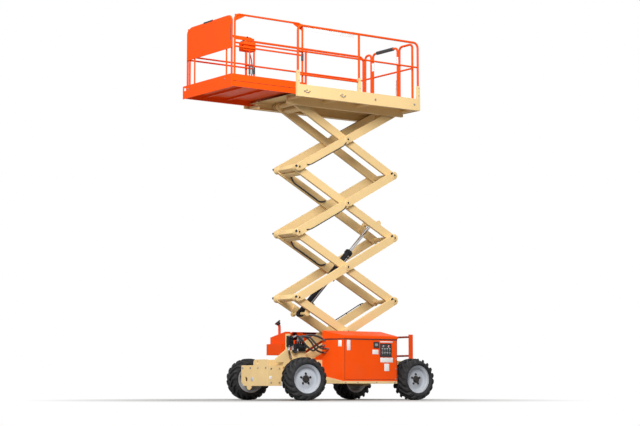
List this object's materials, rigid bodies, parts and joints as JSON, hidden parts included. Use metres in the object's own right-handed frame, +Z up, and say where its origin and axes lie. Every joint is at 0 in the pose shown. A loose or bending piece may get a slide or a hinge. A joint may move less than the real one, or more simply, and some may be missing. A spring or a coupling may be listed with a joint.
{
  "type": "rough terrain scissor lift",
  "caption": "Rough terrain scissor lift: wheeled chassis with side boxes, crossed arm stack, lift cylinder, railed platform and roll-out deck extension.",
  "frame": {"origin": "on the ground under the middle of the whole machine's box", "axes": "+X to the front, +Y to the left, +Z up"},
  "size_m": [3.95, 2.1035, 6.0145],
  "materials": {
    "cream_paint": "gloss",
    "orange_paint": "gloss",
    "black_metal": "satin",
    "black_plastic": "matte",
    "chrome_rod": "polished",
    "deck_steel": "satin",
    "silver_rim": "satin",
    "tyre_rubber": "matte"
  },
  "bodies": {
    "chassis": {"chassis_frame": "cream_paint", "nose": "cream_paint", "front_axle": "cream_paint", "rear_axle": "cream_paint", "ladder": "orange_paint", "tray_left": "cream_paint", "tray_right": "cream_paint", "box_left": "orange_paint", "box_right": "orange_paint", "tank": "orange_paint", "filler": "orange_paint", "engine": "black_metal", "manifold": "black_metal", "control_panel": "black_plastic"},
    "lid_left": {"lid_left": "orange_paint"},
    "lid_right": {"lid_right": "orange_paint"},
    "knuckle_left": {"knuckle_left": "cream_paint"},
    "knuckle_right": {"knuckle_right": "cream_paint"},
    "wheel_front_left": {"rim_front_left": "silver_rim", "tyre_front_left": "tyre_rubber"},
    "wheel_front_right": {"rim_front_right": "silver_rim", "tyre_front_right": "tyre_rubber"},
    "wheel_rear_left": {"rim_rear_left": "silver_rim", "tyre_rear_left": "tyre_rubber"},
    "wheel_rear_right": {"rim_rear_right": "silver_rim", "tyre_rear_right": "tyre_rubber"},
    "inner_1": {"inner_arms_1": "cream_paint"},
    "outer_1": {"outer_arms_1": "cream_paint"},
    "inner_2": {"inner_arms_2": "cream_paint"},
    "outer_2": {"outer_arms_2": "cream_paint"},
    "inner_3": {"inner_arms_3": "cream_paint"},
    "outer_3": {"outer_arms_3": "cream_paint"},
    "inner_4": {"inner_arms_4": "cream_paint"},
    "outer_4": {"outer_arms_4": "cream_paint"},
    "barrel": {"cylinder_barrel": "black_metal"},
    "rod": {"cylinder_rod": "chrome_rod"},
    "platform": {"deck_frame": "cream_paint", "deck_floor": "deck_steel", "rail_left": "orange_paint", "rail_right": "orange_paint", "rail_rear": "orange_paint"},
    "gate": {"gate": "orange_paint"},
    "extension": {"extension_deck": "orange_paint", "extension_rail_left": "orange_paint", "extension_rail_right": "orange_paint", "extension_front_rail": "orange_paint", "front_panel": "orange_paint", "platform_control": "black_plastic"}
  },
  "joints": [
    {"name": "lift", "type": "hinge", "parent": "chassis", "child": "inner_1", "pos_m": [-1.548, 0, 0.585], "axis": [0, -1, 0], "range_deg": [-24.85, 25.1]},
    {"name": "outer_1_turn", "type": "hinge", "parent": "inner_1", "child": "outer_1", "pos_m": [-0.57159, 0, 1.11294], "axis": [0, -1, 0], "range_deg": [-50.3, 49.8]},
    {"name": "outer_2_turn", "type": "hinge", "parent": "inner_1", "child": "outer_2", "pos_m": [0.40482, 0, 1.64089], "axis": [0, -1, 0], "range_deg": [-50.3, 49.8]},
    {"name": "inner_2_turn", "type": "hinge", "parent": "outer_2", "child": "inner_2", "pos_m": [-0.57159, 0, 2.16883], "axis": [0, -1, 0], "range_deg": [-49.8, 50.3]},
    {"name": "inner_3_turn", "type": "hinge", "parent": "outer_2", "child": "inner_3", "pos_m": [-1.548, 0, 2.69677], "axis": [0, -1, 0], "range_deg": [-49.8, 50.3]},
    {"name": "outer_3_turn", "type": "hinge", "parent": "inner_3", "child": "outer_3", "pos_m": [-0.57159, 0, 3.22471], "axis": [0, -1, 0], "range_deg": [-50.3, 49.8]},
    {"name": "outer_4_turn", "type": "hinge", "parent": "inner_3", "child": "outer_4", "pos_m": [0.40482, 0, 3.75266], "axis": [0, -1, 0], "range_deg": [-50.3, 49.8]},
    {"name": "inner_4_turn", "type": "hinge", "parent": "outer_4", "child": "inner_4", "pos_m": [-0.57159, 0, 4.2806], "axis": [0, -1, 0], "range_deg": [-49.8, 50.3]},
    {"name": "platform_level", "type": "hinge", "parent": "outer_4", "child": "platform", "pos_m": [-1.548, 0, 4.80854], "axis": [0, -1, 0], "range_deg": [-24.95, 25.2]},
    {"name": "barrel_swing", "type": "hinge", "parent": "inner_1", "child": "barrel", "pos_m": [0.1621, 0, 1.39596], "axis": [0, -1, 0], "range_deg": [-52.81, 52.28]},
    {"name": "rod_slide", "type": "slide", "parent": "barrel", "child": "rod", "axis": [-0.6885, 0, 0.7252], "range_m": [-0.5253, 0.5306]},
    {"name": "steer_left", "type": "hinge", "parent": "chassis", "child": "knuckle_left", "pos_m": [0.642, 0.71, 0.33871], "axis": [0, 0, 1], "range_deg": [-21, 43]},
    {"name": "steer_right", "type": "hinge", "parent": "chassis", "child": "knuckle_right", "pos_m": [0.642, -0.71, 0.33871], "axis": [0, 0, 1], "range_deg": [-21.1, 43.1]},
    {"name": "wheel_front_left_spin", "type": "hinge", "parent": "knuckle_left", "child": "wheel_front_left", "pos_m": [0.66547, 0.83074, 0.33871], "axis": [0.1908, 0.9816, 0], "continuous": true},
    {"name": "wheel_front_right_spin", "type": "hinge", "parent": "knuckle_right", "child": "wheel_front_right", "pos_m": [0.61853, -0.83074, 0.33871], "axis": [0.1908, 0.9816, 0], "continuous": true},
    {"name": "wheel_rear_left_spin", "type": "hinge", "parent": "chassis", "child": "wheel_rear_left", "pos_m": [-1.518, 0.833, 0.33871], "axis": [0, 1, 0], "continuous": true},
    {"name": "wheel_rear_right_spin", "type": "hinge", "parent": "chassis", "child": "wheel_rear_right", "pos_m": [-1.518, -0.833, 0.33871], "axis": [0, 1, 0], "continuous": true},
    {"name": "lid_left_open", "type": "hinge", "parent": "chassis", "child": "lid_left", "pos_m": [-0.48, 0.429, 1.098], "axis": [1, 0, 0], "range_deg": [0, 60]},
    {"name": "lid_right_open", "type": "hinge", "parent": "chassis", "child": "lid_right", "pos_m": [-0.48, -0.429, 1.098], "axis": [-1, 0, 0], "range_deg": [0, 60]},
    {"name": "gate_swing", "type": "hinge", "parent": "platform", "child": "gate", "pos_m": [-1.685, -0.43, 4.94154], "axis": [0, 0, -1], "range_deg": [0, 85]},
    {"name": "extension_slide", "type": "slide", "parent": "platform", "child": "extension", "axis": [1, 0, 0], "range_m": [-1.22, 0]}
  ],
  "couplings": [
    {"joint": "outer_1_turn", "follows": "lift", "ratio": -2},
    {"joint": "outer_2_turn", "follows": "lift", "ratio": -2},
    {"joint": "inner_2_turn", "follows": "lift", "ratio": 2},
    {"joint": "inner_3_turn", "follows": "lift", "ratio": 2},
    {"joint": "outer_3_turn", "follows": "lift", "ratio": -2},
    {"joint": "outer_4_turn", "follows": "lift", "ratio": -2},
    {"joint": "inner_4_turn", "follows": "lift", "ratio": 2},
    {"joint": "platform_level", "follows": "lift", "ratio": 1},
    {"joint": "barrel_swing", "follows": "lift", "ratio": -2.1},
    {"joint": "rod_slide", "follows": "lift", "m_per_rad": 1.2067},
    {"joint": "steer_right", "follows": "steer_left", "ratio": 1}
  ]
}
